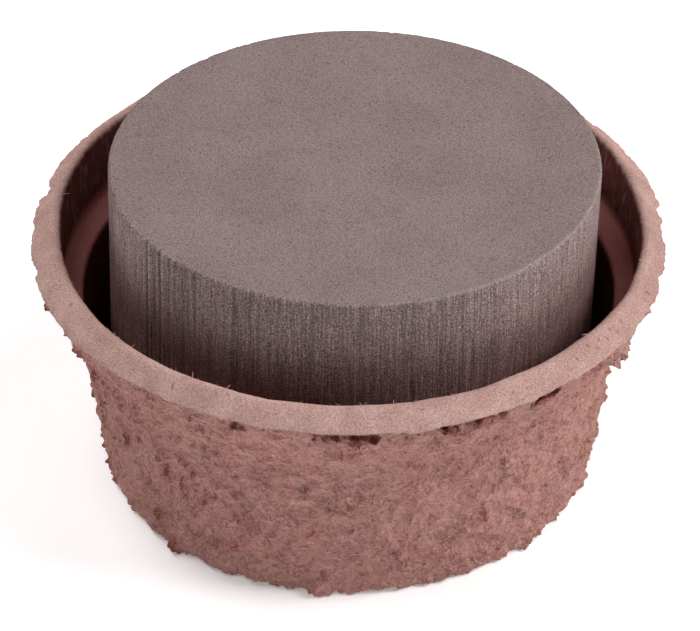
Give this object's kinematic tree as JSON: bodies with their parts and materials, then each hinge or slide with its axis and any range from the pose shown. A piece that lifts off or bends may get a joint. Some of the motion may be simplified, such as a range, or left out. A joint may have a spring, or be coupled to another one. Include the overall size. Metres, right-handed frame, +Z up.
{
  "type": "floral foam bowl",
  "caption": "Round floral foam block standing in a deep moulded paper pulp bowl with a sloping rim; flower stems are pushed into the foam and the bowl holds its water.",
  "frame": {"origin": "centre of the ring that the bowl stands on, at table height", "axes": "+Z up along the axis that the bowl and the foam block share; +X to the right and -Y to the front"},
  "size_m": [0.2, 0.2, 0.1095],
  "materials": {
    "pulp": "matte",
    "foam": "matte"
  },
  "bodies": {
    "bowl": {"pulp_bowl": "pulp"},
    "foam": {"foam_block": "foam"}
  },
  "joints": [
    {"name": "foam_lift", "type": "slide", "parent": "bowl", "child": "foam", "axis": [0, 0, 1], "range_m": [0, 0.1]}
  ]
}
